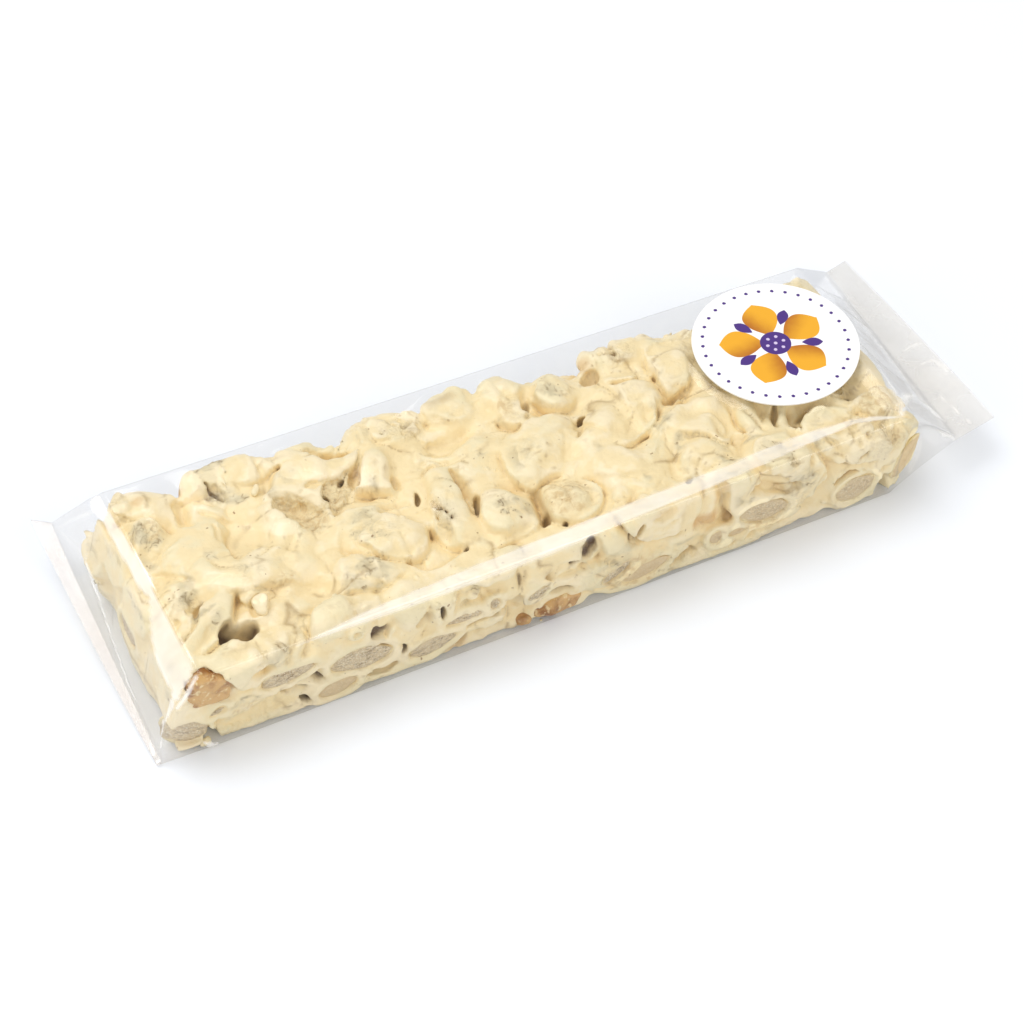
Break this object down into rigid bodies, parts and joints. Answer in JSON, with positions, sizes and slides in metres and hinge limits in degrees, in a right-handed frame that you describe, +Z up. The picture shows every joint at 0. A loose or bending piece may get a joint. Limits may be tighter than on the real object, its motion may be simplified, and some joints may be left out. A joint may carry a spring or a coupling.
{
  "type": "nougat bar in a clear bag",
  "caption": "Thick bar of soft nougat full of whole almonds, lying flat, sealed in a clear bag with flat end seals and a round label stuck on top.",
  "frame": {"origin": "on the surface the bag rests on, under the middle of the bag's whole extent", "axes": "+X along the bar towards the labelled end, +Y across the bar towards the ears of the end seals, +Z up"},
  "size_m": [0.2474, 0.08, 0.0299],
  "materials": {
    "clear_film": "clear glossy bag film, drawn tight over the bar, with soft creases at its ends",
    "label_paper": "white semi-gloss paper sticker with a printed pattern",
    "nougat": "cream-coloured soft nougat, smooth and slightly waxy, with deeper yellow hollows",
    "cut_almond": "cut almond faces, pale and matt with streaks and brown skins",
    "candied_peel": "amber candied lumps, glossy and a little translucent"
  },
  "bodies": {
    "root": {"bag": "clear_film", "label": "label_paper"}
  },
  "joints": []
}
